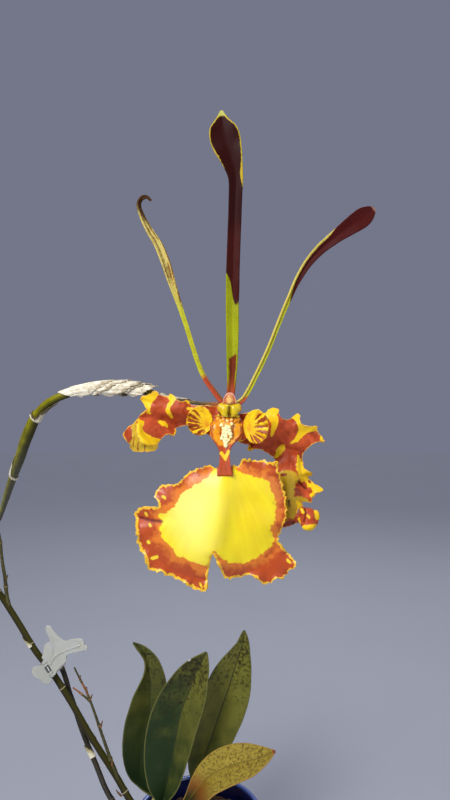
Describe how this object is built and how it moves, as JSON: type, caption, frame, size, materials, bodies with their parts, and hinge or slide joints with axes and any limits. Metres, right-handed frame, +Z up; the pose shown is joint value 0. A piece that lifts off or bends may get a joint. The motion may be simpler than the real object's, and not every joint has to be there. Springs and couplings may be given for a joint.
{
  "type": "potted psychopsis orchid",
  "caption": "Butterfly orchid in a small glazed pot: leathery leaves, an arching flower spike held by a spring clip, and an open yellow and red-brown bloom.",
  "frame": {"origin": "centre of the pot's foot, on the surface that the pot stands on", "axes": "+Z up; the bloom faces -Y, towards the viewer; +X to the viewer's right"},
  "size_m": [0.2213, 0.3151, 0.4803],
  "materials": {
    "glazed_pot": "glossy cobalt glaze",
    "bark_mix": "rough dark bark",
    "rhizome": "dry, matt, tan",
    "pseudobulb": "smooth, wrinkled lengthwise",
    "leaf_green": "waxy, mottled dark over olive",
    "leaf_yellow": "waxy, yellow with brown mottling",
    "stem_green": "smooth green, dark towards the pot",
    "stem_dark": "smooth, dark brown",
    "dry_sheath": "papery, streaked",
    "petal_maroon": "satin, maroon with a yellow base and margin",
    "petal_olive": "satin, yellow-green streaked brown",
    "sepal_red": "satin, red-brown with yellow bars",
    "lip_yellow": "satin, yellow with an orange-brown margin",
    "callus_cream": "waxy cream",
    "column_gold": "waxy, yellow-green",
    "clear_plastic": "translucent, smooth",
    "spring_steel": "bright steel wire"
  },
  "bodies": {
    "plant": {"pot": "glazed_pot", "potting_mix": "bark_mix", "rhizome": "rhizome", "pseudobulb_left": "pseudobulb", "pseudobulb_middle": "pseudobulb", "pseudobulb_right": "pseudobulb", "pseudobulb_front": "pseudobulb", "leaf_left": "leaf_green", "leaf_middle": "leaf_green", "leaf_right": "leaf_green", "leaf_yellow": "leaf_yellow", "flower_spike": "stem_green", "old_spike": "stem_dark", "sheath_lower": "dry_sheath", "sheath_middle": "dry_sheath", "sheath_upper": "dry_sheath", "sheath_old_spike": "dry_sheath", "papery_bracts": "dry_sheath", "pedicel": "stem_green", "column": "column_gold", "anther_cap": "callus_cream", "dorsal_sepal": "petal_maroon", "petal_left": "petal_olive", "petal_right": "petal_maroon", "lateral_sepal_left": "sepal_red", "lateral_sepal_right": "sepal_red", "lip": "lip_yellow", "callus": "callus_cream", "clip_half_first": "clear_plastic", "clip_pin": "spring_steel", "clip_spring": "spring_steel"},
    "clip_lever": {"clip_half_second": "clear_plastic"}
  },
  "joints": [
    {"name": "clip_hinge", "type": "hinge", "parent": "plant", "child": "clip_lever", "pos_m": [-0.1081, -0.00925, 0.197], "axis": [-0.5519, 0, 0.8339], "range_deg": [0, 25], "stiffness_Nm_per_rad": 0.003, "springref_deg": -28.65}
  ]
}
